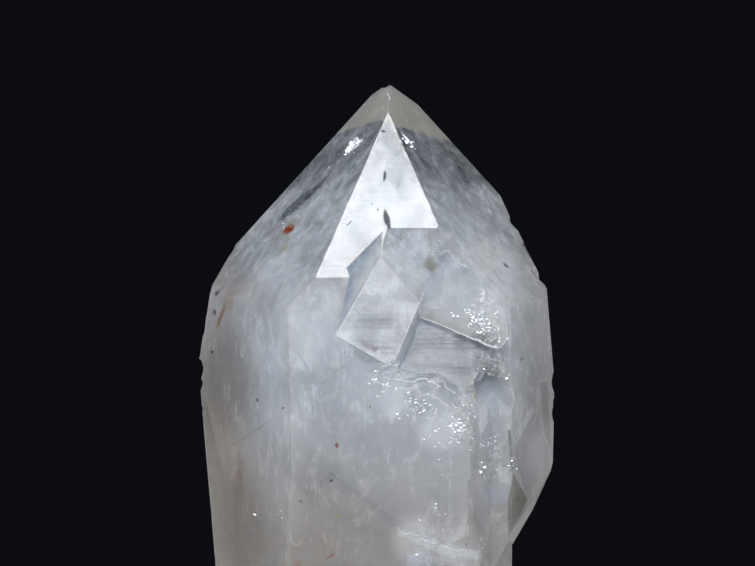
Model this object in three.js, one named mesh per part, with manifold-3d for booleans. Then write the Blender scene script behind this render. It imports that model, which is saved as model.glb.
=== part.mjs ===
// A quartz point standing in a plain turned wooden stand. Millimetres, +Z up.
// The stand's foot is centred on the origin, and the crystal's broad front face looks along -Y.
// The crystal is one solid: parallel growths share the directions of their faces and run into
// each other, and steps, pressed-in corners, chips and shell-shaped breaks are cut into them.

import * as THREE from "three";
import { mergeVertices } from "three/addons/utils/BufferGeometryUtils.js";
import Module from "manifold-3d";

const wasm = await Module();
wasm.setup();

// Driving sizes of the stand
const standHeight = 22;
const footRadius = 50;
const rimRadius = 44;
const socketDepth = 10;
const socketGap = 0.4;
const restGap = 0.3;

// Driving sizes of the crystal, in its own frame: its long axis is +Z and its broken base is at 0
const tipHeight = 150.3; // where the three large end faces would meet
const pointPlace = { x: 3, y: 3, z: standHeight - socketDepth + restGap };
const endFaceTilt = 38.2; // how far the end faces of quartz look up
const farAway = 400;

// Where each small end face meets the axis, above the large ones
const frontEndRise = 5.4;
const rightEndRise = 4.4;
const leftEndRise = 2.4;
const sideCrystalEndDrop = -1.4;

// Distances of the side faces from the axis
const frontOut = 32.7;
const innerFrontOut = 25.6;
const frontRightOut = 29.8;
const innerRightOut = 21;
const backRightOut = 21.3;
const rightCornerOut = 24.6;
const backOut = 27;
const backLeftOut = 33.1;
const frontLeftOut = 32.7;
const sideCrystalFrontOut = 25;
const backGrowthOut = 30.6;
const lowGrowthOut = 35.2;

const degrees = Math.PI / 180;

// A direction: azimuth 0 looks at the viewer, 90 to the right; rise is upward from level
function outward(azimuth, rise = 0) {
  const a = azimuth * degrees;
  const r = rise * degrees;
  return new THREE.Vector3(Math.sin(a) * Math.cos(r), -Math.cos(a) * Math.cos(r), Math.sin(r));
}

// Numbers between -1 and 1 that are the same in every run
function dice(seed) {
  let state = seed;
  return () => {
    state = (state * 16807) % 2147483647;
    return (state / 2147483647) * 2 - 1;
  };
}

function solidOf(geometry) {
  const bare = geometry.clone();
  bare.deleteAttribute("normal");
  bare.deleteAttribute("uv");
  const merged = mergeVertices(bare, 1e-4);
  return new wasm.Manifold(
    new wasm.Mesh({
      numProp: 3,
      vertProperties: new Float32Array(merged.attributes.position.array),
      triVerts: new Uint32Array(merged.index.array),
    }),
  );
}

function meshOf(solid, name, material) {
  const { vertProperties, triVerts, numProp, numVert } = solid.getMesh();
  const positions = new Float32Array(numVert * 3);
  for (let i = 0; i < numVert; i++)
    positions.set(vertProperties.subarray(i * numProp, i * numProp + 3), i * 3);
  const geometry = new THREE.BufferGeometry();
  geometry.setAttribute("position", new THREE.BufferAttribute(positions, 3));
  geometry.setIndex(new THREE.BufferAttribute(new Uint32Array(triVerts), 1));
  geometry.computeVertexNormals();
  const mesh = new THREE.Mesh(geometry, material);
  mesh.name = name;
  return mesh;
}

// Everything on the outer side of a plane, as a block big enough to cut with
function beyond([point, normal]) {
  const block = new THREE.BoxGeometry(farAway, farAway, farAway);
  block.translate(0, 0, farAway / 2);
  block.applyQuaternion(
    new THREE.Quaternion().setFromUnitVectors(new THREE.Vector3(0, 0, 1), normal),
  );
  block.translate(point.x, point.y, point.z);
  return solidOf(block);
}

function cutFaces(solid, faces) {
  return faces.reduce((left, face) => left.subtract(beyond(face)), solid);
}

// A side face at its distance from the axis, leaning outwards or inwards by a degree or two
function sideFace(azimuth, distance, lean = 0, leanHeight = 90) {
  const point = outward(azimuth).multiplyScalar(distance);
  point.z = leanHeight;
  return [point, outward(azimuth, lean)];
}

// An end face, whose plane meets the axis above the tip by its rise
function endFace(azimuth, rise = 0, tilt = endFaceTilt) {
  return [new THREE.Vector3(0, 0, tipHeight + rise), outward(azimuth, tilt)];
}

// The plane through three points, looking away from a point inside
function faceThrough(points, inside) {
  const [p, q, r, within] = [...points, inside].map((v) => new THREE.Vector3(...v));
  const normal = q.clone().sub(p).cross(r.clone().sub(p)).normalize();
  if (normal.dot(within.sub(p)) > 0) normal.negate();
  return [p, normal];
}

function rawBlock(low, high) {
  const block = new THREE.BoxGeometry(high[0] - low[0], high[1] - low[1], high[2] - low[2]);
  block.translate((low[0] + high[0]) / 2, (low[1] + high[1]) / 2, (low[2] + high[2]) / 2);
  return solidOf(block);
}

// An outline seen from the front, as [x, z] points, carried from nearY back to farY
function frontBlock(outline, nearY, farY) {
  const shape = new THREE.Shape(outline.map(([x, z]) => new THREE.Vector2(x, z)));
  const block = new THREE.ExtrudeGeometry(shape, { depth: farY - nearY, bevelEnabled: false });
  block.rotateX(Math.PI / 2);
  block.translate(0, farY, 0);
  return solidOf(block);
}

// A row of small splintered chips along an edge, uneven in size and place
function chipRow({ from, to, direction, count, radius, bite, seed, stray = 0.8 }) {
  const roll = dice(seed);
  const [start, end] = [from, to].map((v) => new THREE.Vector3(...v));
  return Array.from({ length: count }, (_, i) => {
    const at = start.clone().lerp(end, (i + 0.5 + roll() * 0.4) / count);
    const jitter = new THREE.Vector3(roll(), roll(), roll()).multiplyScalar(stray);
    const facing = direction.clone().add(jitter.clone().multiplyScalar(0.3)).normalize();
    const size = radius * (1 + 0.45 * roll());
    const chip = new THREE.IcosahedronGeometry(size, 1);
    chip.rotateX(roll() * Math.PI);
    chip.rotateZ(roll() * Math.PI);
    chip.scale(1 + 0.25 * roll(), 1 + 0.25 * roll(), 1 + 0.25 * roll());
    at.add(jitter).addScaledVector(facing, size - bite * (1 + 0.6 * roll()));
    chip.translate(at.x, at.y, at.z);
    return solidOf(chip);
  });
}

// A shell-shaped break: a shallow rippled dish with an uneven rim, pressed into a face
function shell({ at, direction, width, depth, stretch = 1, turn = 0, seed = 1, lift = 5 }) {
  const rings = 7;
  const profile = [];
  for (let i = 0; i <= rings; i++) {
    const share = i / rings;
    const ripple = 0.07 * Math.sin(share * Math.PI * 5) * share;
    profile.push(new THREE.Vector2((share * width) / 2, depth * (share ** 2 - 1 + ripple)));
  }
  profile.push(new THREE.Vector2(width * 0.62, depth * 0.55));
  profile.push(new THREE.Vector2(width * 0.62, lift), new THREE.Vector2(0, lift));
  const dish = new THREE.LatheGeometry(profile, 20);
  const spots = dish.attributes.position;
  for (let i = 0; i < spots.count; i++) {
    const angle = Math.atan2(spots.getZ(i), spots.getX(i));
    const uneven = 1 + 0.09 * Math.sin(2 * angle + seed) + 0.06 * Math.sin(5 * angle + seed * 2.7);
    spots.setX(i, spots.getX(i) * uneven * stretch);
    spots.setZ(i, spots.getZ(i) * uneven);
  }
  dish.rotateY(turn * degrees);
  const up = new THREE.Vector3(0, 1, 0);
  dish.applyQuaternion(new THREE.Quaternion().setFromUnitVectors(up, direction));
  dish.translate(...at);
  return solidOf(dish);
}

// What stands further out than a distance from the axis, inside an outline seen from the front
function flake(outline, azimuth, distance) {
  const inwards = [outward(azimuth).multiplyScalar(distance), outward(azimuth).negate()];
  return cutFaces(frontBlock(outline, -60, 0), [inwards]);
}

function cutAll(solid, cutters) {
  return cutters.reduce((left, cutter) => left.subtract(cutter), solid);
}

const largeEnds = [endFace(-60), endFace(60), endFace(180)];
const smallEnds = [endFace(0, frontEndRise), endFace(120, rightEndRise), endFace(-120, leftEndRise)];
const leftSides = [sideFace(-120, backLeftOut, -1), sideFace(-60, frontLeftOut, -0.8)];
const lowerLeftFace = [new THREE.Vector3(-28.8, -13.8, 55.1), outward(-70, -5.9)];

// The main point
function mainPoint() {
  return cutFaces(rawBlock([-60, -60, 0], [60, 60, tipHeight + 5]), [
    sideFace(0, innerFrontOut),
    sideFace(60, innerRightOut),
    sideFace(120, backRightOut),
    sideFace(180, backOut, 0.6),
    ...leftSides,
    lowerLeftFace,
    ...largeEnds,
    ...smallEnds,
  ]);
}

// The growth in front, broken away along the top on its right
const frontBreak = [
  [-0.1, 175],
  [-0.1, 123.5],
  [-8.1, 115.9],
  [-7.4, 114.1],
  [-10.1, 103.1],
  [-7.2, 101.9],
  [-4.5, 99.8],
  [-1.6, 98.4],
  [0.7, 96.7],
  [6.1, 95.2],
  [9, 95.4],
  [11.4, 94.2],
  [14.2, 92.2],
  [16.1, 91.8],
  [19.3, 90.4],
  [24.3, 88.4],
  [60, 88],
  [60, 175],
];

function frontGrowth() {
  const whole = cutFaces(rawBlock([-60, -60, 0], [60, 5, tipHeight + 5]), [
    sideFace(0, frontOut),
    sideFace(60, frontRightOut),
    sideFace(120, 12.5),
    ...leftSides,
    lowerLeftFace,
    ...largeEnds,
    ...smallEnds,
  ]);
  return whole.subtract(frontBlock(frontBreak, -80, 40));
}

// The side crystal on the right: both of its ends show
function sideCrystal() {
  const middle = [14, 0, 90];
  return cutFaces(rawBlock([2, -40, 40], [50, 16, tipHeight]), [
    sideFace(0, sideCrystalFrontOut),
    sideFace(60, 33.2, 0.4),
    sideFace(120, 23.9, 0.9),
    endFace(60, -0.03),
    endFace(180),
    endFace(0, frontEndRise - 0.15),
    endFace(120, sideCrystalEndDrop),
    [new THREE.Vector3(26.5, -2, 119.9), outward(92, 25)],
    faceThrough([[32.1, -9, 72.8], [25.1, -9, 58.5], [23.8, -24, 62.5]], middle),
    faceThrough([[33.2, -9, 76], [32.1, -9, 72.8], [28.8, 14, 76]], middle),
    faceThrough([[24.2, -25, 56], [28, -9, 63.6], [18, -10, 52.6]], middle),
  ]);
}

// The pressed-in corner low on the side crystal's front edge: what is cut from it
function pressedCorner() {
  const top = [29.3, -15.8, 88];
  const left = [24.1, -24.2, 80.4];
  const low = [30.4, -12.4, 70];
  return cutFaces(rawBlock([20, -60, 60], [60, 0, 100]), [
    faceThrough([top, left, low], [60, -50, 80]),
    faceThrough([top, [31.4, -11.8, 84], low], [20, -60, 80]),
    faceThrough([left, [27.3, -17.6, 69], [20, -20, 74]], [30, -30, 95]),
  ]);
}

// The tilted block that stands out of the broken front, with a narrow face on its left
function tiltedBlock() {
  const topCorner = [-1.6, -29.8, 117.7];
  const rightCorner = [6.0, -30.9, 109.1];
  const leftCorner = [-10.1, -32.9, 103.1];
  const lowCorner = [0.7, -33.4, 96.8];
  const inside = [-1, -26, 107];
  return cutFaces(rawBlock([-14, -45, 92], [14, -18, 126]), [
    faceThrough([topCorner, rightCorner, leftCorner], inside),
    faceThrough([topCorner, rightCorner, [-0.1, -25.5, 123.3]], inside),
    faceThrough([topCorner, leftCorner, [-3.2, -25.5, 120.4]], inside),
    faceThrough([rightCorner, lowCorner, [7.6, -25.5, 105]], inside),
    faceThrough([leftCorner, lowCorner, [-8, -25.5, 99]], inside),
    faceThrough([[8.8, -25.5, 115], rightCorner, [9.6, -20, 112]], inside),
    endFace(0, frontEndRise - 0.06),
  ]);
}

// The dark sunken panel beside the block, and the bright rough tongue above it
function sunkenPanel() {
  const outline = [[5.7, 106.3], [21.2, 100.2], [23.7, 92], [20, 88], [9, 90], [0.7, 94], [0.7, 96.5]];
  return cutFaces(frontBlock(outline, -40, -20), [
    faceThrough([[5.7, -27.8, 106.3], [21, -26.6, 100.2], [0.7, -30.4, 96.5]], [10, 0, 100]),
  ]);
}

function brightTongue() {
  const outline = [[8.8, 115], [12, 117.5], [15.2, 115.9], [19.7, 111.1], [22.4, 107.2], [23.3, 104.2],
    [22.9, 101.6], [21.5, 100.2], [5.7, 106.5]];
  const rough = cutFaces(frontBlock(outline, -40, -18), [
    faceThrough([[5.7, -30.2, 106.5], [21.5, -29.6, 100.2], [12, -25.2, 116.6]], [12, 0, 108]),
    faceThrough([[23.3, -26.2, 104.2], [21.8, -29, 101], [19.7, -25.6, 111.1]], [12, -20, 108]),
  ]);
  return cutAll(rough, [
    shell({ at: [18.3, -28.5, 104.3], direction: outward(12, 22), width: 6, depth: 0.6, seed: 2 }),
    shell({ at: [21.2, -27.4, 106.2], direction: outward(35, 25), width: 5, depth: 0.7, seed: 4 }),
    shell({ at: [17.4, -27.3, 108.6], direction: outward(5, 25), width: 5, depth: 0.4, seed: 6 }),
  ]);
}

// Ledges where the front growth broke off, between the panel and its right edge
function brokenLedges() {
  // Each is its place, its facing (azimuth and rise), width, depth, stretch and turn
  const ledges = [
    [[20.4, -25.6, 89.3], [30, 44], 6, 0.6, 1.5, 30],
    [[19, -26.4, 86.6], [38, 20], 5, 0.45, 1.6, 10],
    [[15.4, -31.6, 90.2], [12, 36], 7, 0.9, 1.5, 0],
    [[10.4, -32.8, 92.2], [0, 34], 6, 0.7, 1.7, 15],
    [[4, -33, 94], [-4, 30], 8, 0.8, 1.5, 20],
    [[17.6, -28.6, 77], [48, 6], 7, 0.45, 0.6, 0],
    [[18.4, -27.2, 67], [44, -8], 7, 0.45, 0.8, 50],
  ];
  // Thin steps flaked off the right-hand front face, and off the side crystal's front next to it
  const hookStep = [[14, 88.2], [16.2, 87.5], [18.5, 86.5], [19.6, 86.1], [19.6, 93], [14, 93]];
  const cornerStep = [[14, 75.1], [18.1, 75.5], [18.1, 78], [19.8, 78.9], [19.8, 67.3], [14, 66]];
  const sideStep = [[19.8, 78.9], [20.6, 79.4], [23.4, 80.2], [23.6, 66], [21.4, 65.2], [19.8, 67.3]];
  return [
    ...ledges.map(([at, facing, width, depth, stretch, turn], i) =>
      shell({ at, direction: outward(...facing), width, depth, stretch, turn, seed: i * 1.7 }),
    ),
    flake(hookStep, 60, frontRightOut - 0.5),
    flake(cornerStep, 60, frontRightOut - 0.35),
    flake(sideStep, 0, sideCrystalFrontOut - 0.35),
  ];
}

// Wide shell-shaped breaks low on the front face, each with a sharp upper lip
function frontShells() {
  const leftLip = [[-11.2, 77], [-9.9, 75.6], [-7, 73.1], [-4.1, 71.2], [-1.6, 69], [0.3, 66.9],
    [1.7, 65.3], [3.6, 63.2], [2.5, 58], [-4, 56], [-10, 66], [-14, 72]];
  const rightLip = [[3.2, 65.3], [7.1, 63.4], [11.9, 61.8], [17.1, 61], [19.6, 59.5], [18, 55],
    [11, 56], [4, 58]];
  return [
    flake(leftLip, 0, frontOut - 0.5),
    flake(rightLip, 0, frontOut - 0.5),
    shell({ at: [-13.6, -frontOut, 54.4], direction: outward(0), width: 43, depth: 2.3, seed: 0.4 }),
    shell({ at: [10.6, -frontOut, 49.6], direction: outward(4, -3), width: 27, depth: 1.9, seed: 3,
      stretch: 1.15 }),
    shell({ at: [17.2, -30.4, 57.4], direction: outward(34, 14), width: 11, depth: 1.1, seed: 5 }),
    shell({ at: [-2, -frontOut, 22], direction: outward(0), width: 20, depth: 0.9, seed: 2.2,
      stretch: 1.3, turn: 25 }),
  ];
}

// A lower growth behind the point, with its own end faces
function backGrowth() {
  const drop = -18;
  return cutFaces(rawBlock([-34, 5, 0], [16, 50, 130]), [
    sideFace(180, backGrowthOut, 0.4),
    sideFace(120, 16.5),
    sideFace(-120, 34, -0.8),
    endFace(180, drop + 5),
    endFace(120, drop - 4),
    endFace(-120, drop + 3),
  ]);
}

// A small growth low on the left
function lowGrowth() {
  const drop = -88;
  return cutFaces(rawBlock([-45, -12, 0], [-10, 30, 70]), [
    sideFace(180, 24),
    sideFace(-120, lowGrowthOut),
    sideFace(-60, 30.2),
    endFace(-120, drop + 14),
    endFace(180, drop + 8),
    endFace(-60, drop + 10),
  ]);
}

const edgeChips = [
  chipRow({ from: [-26.5, 1.8, 124.4], to: [-33, 1.2, 114.4], direction: outward(-90, 32),
    count: 8, radius: 4, bite: 0.3, seed: 11 }),
  chipRow({ from: [-33, 1.2, 114], to: [-36.8, 0, 100], direction: outward(-92, 16),
    count: 10, radius: 4, bite: 0.3, seed: 23 }),
  chipRow({ from: [-37.2, 0, 98.6], to: [-38.2, 0, 62], direction: outward(-90),
    count: 17, radius: 4, bite: 0.22, seed: 37, stray: 0.35 }),
  chipRow({ from: [24.9, 0, 123.4], to: [27, -3.5, 118.8], direction: outward(86, 25),
    count: 5, radius: 3, bite: 0.2, seed: 5, stray: 0.5 }),
  chipRow({ from: [28.6, -5.6, 115.6], to: [32.8, -9, 107], direction: outward(88, 30),
    count: 7, radius: 3, bite: 0.3, seed: 71 }),
  chipRow({ from: [32.9, -9.2, 104], to: [33.1, -9.2, 80], direction: outward(90),
    count: 8, radius: 4, bite: 0.14, seed: 83, stray: 0.25 }),
  chipRow({ from: [0.6, 0, 150], to: [6.5, 2, 146.4], direction: outward(60, 55),
    count: 5, radius: 2.5, bite: 0.25, seed: 97, stray: 0.3 }),
  chipRow({ from: [-2.6, 0, 148.6], to: [-0.4, 0, 150], direction: outward(-60, 60),
    count: 3, radius: 2, bite: 0.2, seed: 101, stray: 0.2 }),
  chipRow({ from: [-22, 30.6, 20], to: [-20, 30.6, 92], direction: outward(-150),
    count: 12, radius: 5, bite: 0.5, seed: 131, stray: 0.4 }),
  chipRow({ from: [24.5, -0.3, 14], to: [24.5, -0.3, 50], direction: outward(90),
    count: 8, radius: 5, bite: 0.6, seed: 149, stray: 0.5 }),
  chipRow({ from: [15.3, -32.7, 12], to: [15.3, -32.7, 50], direction: outward(30),
    count: 9, radius: 5, bite: 0.5, seed: 163, stray: 0.4 }),
].flat();

// The worn corners where the end faces meet the left and right sides
const wornCorners = [
  [new THREE.Vector3(-32.2, 1, 115.2), outward(-92, 29)],
  [new THREE.Vector3(-35.3, 1, 108.7), outward(-92, 11)],
  [new THREE.Vector3(31.7, -9, 107), outward(88, 5)],
];

// The right-hand one has a step at its upper end: what is cut from it
function wornRightCorner() {
  const worn = [new THREE.Vector3(30.1, -7, 112.8), outward(84, 34).negate()];
  return cutFaces(rawBlock([20, -40, 104], [50, 20, 118.4]), [worn]);
}

function crystalSolid() {
  const grown = [frontGrowth(), sideCrystal(), sunkenPanel(), brightTongue(), tiltedBlock(),
    backGrowth(), lowGrowth()].reduce((whole, growth) => whole.add(growth), mainPoint());
  return cutAll(cutFaces(grown, wornCorners), [
    wornRightCorner(),
    pressedCorner(),
    ...brokenLedges(),
    ...frontShells(),
    ...edgeChips,
  ]);
}

// The socket follows the broken base's own outline, a little larger all round
function socket() {
  return cutFaces(rawBlock([-60, -60, -restGap], [60, 60, 30]), [
    sideFace(0, frontOut + socketGap),
    sideFace(60, frontRightOut + socketGap),
    sideFace(90, rightCornerOut + socketGap),
    sideFace(120, backRightOut + socketGap),
    sideFace(180, backGrowthOut + socketGap, 0.4),
    sideFace(-120, lowGrowthOut + socketGap),
    sideFace(-60, frontLeftOut + socketGap, -0.8),
  ]).translate(pointPlace.x, pointPlace.y, pointPlace.z);
}

// The stand's outline from the middle of its underside to the middle of its top
function standProfile() {
  const points = [[0, 0], [footRadius - 2.2, 0], [footRadius - 0.6, 0.7], [footRadius, 2.4],
    [footRadius, 5.2], [footRadius - 0.7, 7.2], [footRadius - 2.4, 8.4], [footRadius - 4.8, 9.2],
    [footRadius - 6.6, 11], [footRadius - 7.2, 13.4], [rimRadius - 0.6, 15.6], [rimRadius, 17.2],
    [rimRadius + 0.2, 19], [rimRadius - 0.4, 20.6], [rimRadius - 1.8, 21.7],
    [rimRadius - 3.6, standHeight], [0, standHeight]];
  return points.map(([r, z]) => new THREE.Vector2(r, z));
}

function standSolid() {
  const turned = new THREE.LatheGeometry(standProfile(), 60);
  turned.rotateX(Math.PI / 2);
  return solidOf(turned);
}

const quartz = new THREE.MeshStandardMaterial({
  color: 0xd9dde3,
  roughness: 0.12,
  metalness: 0,
  transparent: true,
  opacity: 0.6,
});
const darkWood = new THREE.MeshStandardMaterial({ color: 0x3b2317, roughness: 0.45, metalness: 0 });

const model = new THREE.Group();
const crystal = meshOf(crystalSolid(), "crystal", quartz);
crystal.position.set(pointPlace.x, pointPlace.y, pointPlace.z);
model.add(crystal);
model.add(meshOf(standSolid().subtract(socket()), "stand", darkWood));

export default model;
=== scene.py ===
import math

import bpy
import numpy as np
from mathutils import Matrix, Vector


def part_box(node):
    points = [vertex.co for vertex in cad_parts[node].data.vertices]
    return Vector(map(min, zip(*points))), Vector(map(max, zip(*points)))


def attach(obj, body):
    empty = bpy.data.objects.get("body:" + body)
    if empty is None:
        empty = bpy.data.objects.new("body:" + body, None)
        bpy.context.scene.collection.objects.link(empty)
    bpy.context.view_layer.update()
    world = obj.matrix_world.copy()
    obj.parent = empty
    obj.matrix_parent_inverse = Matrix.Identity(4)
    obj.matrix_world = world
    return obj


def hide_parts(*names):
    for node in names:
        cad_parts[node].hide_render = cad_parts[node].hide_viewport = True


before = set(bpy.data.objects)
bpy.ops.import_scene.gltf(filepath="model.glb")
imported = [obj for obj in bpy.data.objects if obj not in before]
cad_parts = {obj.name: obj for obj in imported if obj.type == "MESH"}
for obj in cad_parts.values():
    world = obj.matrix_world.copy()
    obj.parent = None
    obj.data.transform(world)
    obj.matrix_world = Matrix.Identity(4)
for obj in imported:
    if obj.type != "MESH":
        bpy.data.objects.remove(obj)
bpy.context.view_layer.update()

mm = 0.001
scene = bpy.context.scene


# Small tools that every piece uses

noiseTableSize = 4096
noiseFactors = (73856093, 19349663, 83492791)


def smoothStep(low, high, value):
    part = np.clip((value - low) / (high - low), 0.0, 1.0)
    return part * part * (3.0 - 2.0 * part)


def latticeNoise(points, size, seed):
    # Each corner of a cube lattice holds a random number, and a point takes the smooth mix of the eight
    # corners of the cube that it lies in. The result runs from -1 to 1.
    table = np.random.default_rng(seed).uniform(-1.0, 1.0, noiseTableSize)
    scaled = points / size
    corner = np.floor(scaled).astype(np.int64)
    inside = scaled - corner
    inside = inside * inside * (3.0 - 2.0 * inside)
    total = np.zeros(len(points))
    for step in np.ndindex(2, 2, 2):
        key = (corner + step) * noiseFactors
        weight = np.where(step, inside, 1 - inside).prod(1)
        total += weight * table[(key[:, 0] ^ key[:, 1] ^ key[:, 2]) & (noiseTableSize - 1)]
    return total


def layeredNoise(points, size, seed, layers=4):
    # Lattice noise added to itself at half the size and half the height, layer by layer
    total = np.zeros(len(points))
    for layer in range(layers):
        total += latticeNoise(points, size / 2 ** layer, seed + layer) / 2 ** layer
    return total / (2.0 - 0.5 ** (layers - 1))


def addObject(name, data):
    holder = bpy.data.objects.new(name, data)
    scene.collection.objects.link(holder)
    return holder


def makePiece(name, points, faces, smooth=False):
    # A mesh object from points in metres and a list of faces
    mesh = bpy.data.meshes.new(name)
    mesh.from_pydata(points.tolist(), [], faces)
    mesh.polygons.foreach_set("use_smooth", np.full(len(faces), smooth))
    mesh.update()
    return addObject(name, mesh)


def addValues(piece, name, values):
    # One number for each point, which the piece's material reads
    piece.data.attributes.new(name, "FLOAT", "POINT").data.foreach_set("value", values.astype(np.float32))


def readPoints(mesh):
    points = np.empty(len(mesh.vertices) * 3)
    mesh.vertices.foreach_get("co", points)
    return points.reshape(-1, 3) / mm


def insideBox(points, nodeName):
    # Points in millimetres, held inside the box of a CAD node
    low, high = (np.array(corner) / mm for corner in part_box(nodeName))
    return np.clip(points, low, high)


# Small tools for materials

def newMaterial(name):
    material = bpy.data.materials.new(name)
    material.use_nodes = True
    return material, material.node_tree, material.node_tree.nodes["Principled BSDF"]


def addNode(tree, kind, values=None, **settings):
    node = tree.nodes.new(kind)
    for key, value in settings.items():
        setattr(node, key, value)
    for key, value in (values or {}).items():
        if isinstance(value, bpy.types.NodeSocket):
            tree.links.new(value, node.inputs[key])
        else:
            node.inputs[key].default_value = value
    return node


def mathNode(tree, operation, first, second=0.5):
    return addNode(tree, "ShaderNodeMath", {0: first, 1: second}, operation=operation).outputs[0]


def plus(tree, first, second):
    return mathNode(tree, "ADD", first, second)


def minus(tree, first, second):
    return mathNode(tree, "SUBTRACT", first, second)


def times(tree, first, second):
    return mathNode(tree, "MULTIPLY", first, second)


def larger(tree, first, second):
    return mathNode(tree, "MAXIMUM", first, second)


def vectorNode(tree, operation, first, second=None):
    # The second value is a vector, or the factor where the operation is SCALE
    values = {0: first}
    if second is not None:
        values["Scale" if operation == "SCALE" else 1] = second
    node = addNode(tree, "ShaderNodeVectorMath", values, operation=operation)
    return node.outputs["Value" if operation in ("LENGTH", "DOT_PRODUCT") else "Vector"]


def rangeNode(tree, value, low, high, fromOut=0.0, toOut=1.0, smooth=False):
    kind = "SMOOTHSTEP" if smooth else "LINEAR"
    values = {"Value": value, "From Min": low, "From Max": high, "To Min": fromOut, "To Max": toOut}
    return addNode(tree, "ShaderNodeMapRange", values, interpolation_type=kind).outputs["Result"]


def mixColour(tree, share, first, second):
    node = addNode(tree, "ShaderNodeMix", data_type="RGBA")
    for socket, value in ((node.inputs[0], share), (node.inputs[6], first), (node.inputs[7], second)):
        if isinstance(value, bpy.types.NodeSocket):
            tree.links.new(value, socket)
        else:
            socket.default_value = value
    return node.outputs[2]


def stretched(tree, vector, scale):
    return addNode(tree, "ShaderNodeMapping", {"Vector": vector, "Scale": scale}).outputs[0]


def noise(tree, place, stretch, scale, detail=4.0, roughness=0.55, distortion=0.0):
    # Cloudy noise: how its coordinates are stretched, its scale per millimetre, and its fineness
    values = {"Vector": stretched(tree, place, stretch), "Scale": scale, "Detail": detail}
    values |= {"Roughness": roughness, "Distortion": distortion}
    return addNode(tree, "ShaderNodeTexNoise", values).outputs["Fac"]


def millimetres(tree):
    # The piece's own coordinates, counted in millimetres
    return vectorNode(tree, "SCALE", addNode(tree, "ShaderNodeTexCoord").outputs["Object"], 1000.0)


def attribute(tree, name):
    return addNode(tree, "ShaderNodeAttribute", attribute_name=name).outputs["Fac"]


def addBump(tree, shader, height, strength, distance, normal=None):
    values = {"Height": height, "Strength": strength, "Distance": distance}
    if normal is not None:
        values["Normal"] = normal
    bump = addNode(tree, "ShaderNodeBump", values)
    tree.links.new(bump.outputs[0], shader.inputs["Normal"])


# Camera at the photo's angle: a long lens, almost level, five degrees above the point it looks at

cameraSettings = {
    "aim": (0.9, 0.0, 122.8),
    "distance": 700.0,
    "elevation": 5.0,
    "lens": 166.9,
    "sensor": 36.0,
    "nearest": 0.01,
}


def makeCamera():
    elevation = math.radians(cameraSettings["elevation"])
    backwards = Vector((0, -math.cos(elevation), math.sin(elevation)))
    camera = bpy.data.cameras.new("camera")
    camera.lens = cameraSettings["lens"]
    camera.sensor_width = cameraSettings["sensor"]
    camera.clip_start = cameraSettings["nearest"]
    holder = addObject("camera", camera)
    holder.location = (Vector(cameraSettings["aim"]) + backwards * cameraSettings["distance"]) * mm
    holder.rotation_euler = (math.radians(90 - cameraSettings["elevation"]), 0, 0)
    scene.camera = holder


makeCamera()
print("camera ready")


# Studio: a pale floor, a dark surround, one overhead softbox whose reflection lies on the front end face,
# a wide front fill, two side fills and three dim lights behind

studioSettings = {
    "surround": (0.0036, 0.0041, 0.0058, 1),
    "surroundGlow": (0.020, 0.022, 0.026, 1),
    "lightsAim": (0.0, 0.0, 0.11),
    "floor": (0.62, 0.61, 0.59),
    "floorRoughness": 0.6,
    "floorHalfWidth": 1.6,
    "floorFront": -1.8,
    "floorBack": 0.36,
    "floorThickness": 0.012,
    "floorCorner": 0.35,
    "floorPoints": 160,
}

# where each light is and how wide it is, in metres, its power in watts and its colour
lightSettings = {
    "overheadSoftbox": ((0.0, -0.30, 1.06), (0.20, 0.17), 1.55, (0.94, 0.97, 1.0)),
    "frontFill": ((0.0, -1.45, 0.72), (1.4, 0.5), 12.4, (0.95, 0.975, 1.0)),
    "leftFill": ((-1.25, -0.85, 0.24), (0.9, 0.7), 3.9, (0.94, 0.97, 1.0)),
    "rightFill": ((1.25, -0.80, 0.24), (0.9, 0.7), 2.8, (0.94, 0.97, 1.0)),
    "backFill": ((0.0, 1.40, 0.75), (1.0, 0.4), 5.0, (0.97, 0.98, 1.0)),
    "backLeft": ((-1.15, 0.05, 0.50), (0.6, 0.6), 1.8, (0.95, 0.97, 1.0)),
    "backRight": ((1.10, 0.05, 0.50), (0.6, 0.6), 1.6, (1.0, 0.97, 0.93)),
}


def makeStudio():
    world = bpy.data.worlds.new("surround")
    world.use_nodes = True
    scene.world = world
    tree = world.node_tree
    seen = addNode(tree, "ShaderNodeLightPath").outputs["Is Camera Ray"]
    shade = mixColour(tree, seen, studioSettings["surroundGlow"], studioSettings["surround"])
    tree.links.new(shade, tree.nodes["Background"].inputs["Color"])
    for name, (place, size, power, colour) in lightSettings.items():
        light = bpy.data.lights.new(name, "AREA")
        light.shape = "RECTANGLE"
        light.size, light.size_y = size
        light.energy = power
        light.color = colour
        holder = addObject(name, light)
        holder.location = place
        aim = Vector(studioSettings["lightsAim"]) - Vector(place)
        holder.rotation_euler = aim.to_track_quat("-Z", "Y").to_euler()
        holder.visible_camera = False


def floorMaterial():
    material, tree, shader = newMaterial("paleFloor")
    mottle = noise(tree, millimetres(tree), (1, 1, 1), 0.02, 6)
    tone = rangeNode(tree, mottle, 0.3, 0.7, 0.96, 1.03)
    tree.links.new(vectorNode(tree, "SCALE", studioSettings["floor"], tone), shader.inputs["Base Color"])
    shader.inputs["Roughness"].default_value = studioSettings["floorRoughness"]
    return material


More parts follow.
